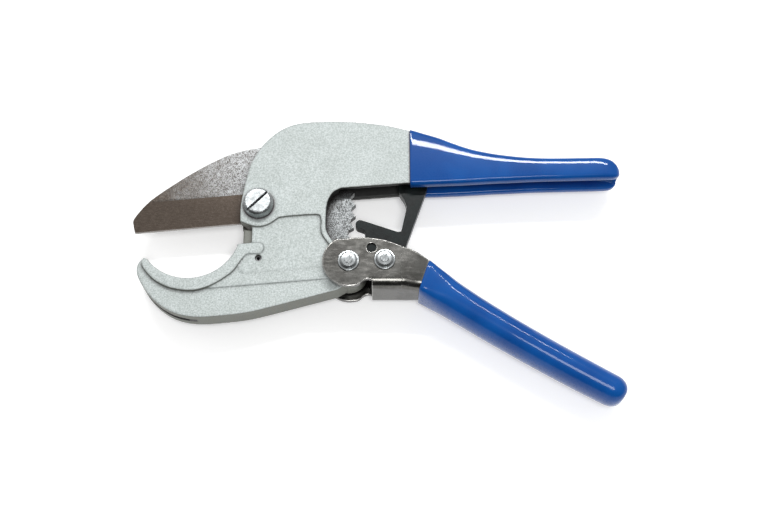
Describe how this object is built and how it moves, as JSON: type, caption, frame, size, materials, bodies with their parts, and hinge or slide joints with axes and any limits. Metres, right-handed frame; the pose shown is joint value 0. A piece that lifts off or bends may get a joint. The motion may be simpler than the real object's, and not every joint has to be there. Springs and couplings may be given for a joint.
{
  "type": "ratchet pipe cutter",
  "caption": "Hand-held ratcheting cutter for plastic pipe: a swinging bevelled blade closes into a hooked jaw as the lever is squeezed.",
  "frame": {"origin": "middle of the underside of the tool's box, on the surface it lies on", "axes": "+X from the hooked jaw towards the handle ends, +Y from the lever to the upper handle, +Z through the thickness, up as it lies on its side"},
  "size_m": [0.2074, 0.124, 0.0264],
  "materials": {
    "cast_aluminium": "sand-textured casting, satin clear coat",
    "blue_vinyl": "glossy dipped vinyl",
    "blade_steel": "ground tool steel with satin bevels",
    "plated_steel": "polished nickel-plated sheet steel",
    "zinc_steel": "bright zinc-plated steel",
    "black_steel": "black oxide with a satin sheen",
    "spring_steel": "oiled spring steel",
    "bronze": "sintered bronze",
    "nylon": "matte nylon"
  },
  "bodies": {
    "frame": {"body_casting": "cast_aluminium", "body_grip": "blue_vinyl", "blade_screw": "zinc_steel", "blade_shims": "zinc_steel", "spring_washer": "zinc_steel", "lock_nut": "zinc_steel", "nut_insert": "nylon", "stop_pin": "spring_steel", "lever_rivet": "zinc_steel", "lug_bush": "bronze", "lever_washers": "zinc_steel"},
    "blade": {"blade": "blade_steel", "blade_bush": "bronze"},
    "lever": {"lever_channel": "plated_steel", "lever_grip": "blue_vinyl", "lever_rivet_collars": "zinc_steel", "pawl_rivet": "zinc_steel", "pawl_spacers": "zinc_steel", "pawl_rivet_collars": "zinc_steel"},
    "pawl": {"pawl": "black_steel", "pawl_bush": "bronze", "pawl_spring": "spring_steel"}
  },
  "joints": [
    {"name": "blade_pivot", "type": "hinge", "parent": "frame", "child": "blade", "pos_m": [-0.04989, 0.02298, 0.0132], "axis": [0, 0, 1], "range_deg": [-46, 48]},
    {"name": "lever_pivot", "type": "hinge", "parent": "frame", "child": "lever", "pos_m": [-0.01169, -0.00362, 0.0132], "axis": [0, 0, 1], "range_deg": [0, 36]},
    {"name": "pawl_pivot", "type": "hinge", "parent": "lever", "child": "pawl", "pos_m": [0.00321, -0.00302, 0.0132], "axis": [0, 0, 1], "range_deg": [-50, 0]}
  ],
  "couplings": [
    {"joint": "pawl_pivot", "follows": "lever_pivot", "ratio": -1.25}
  ]
}
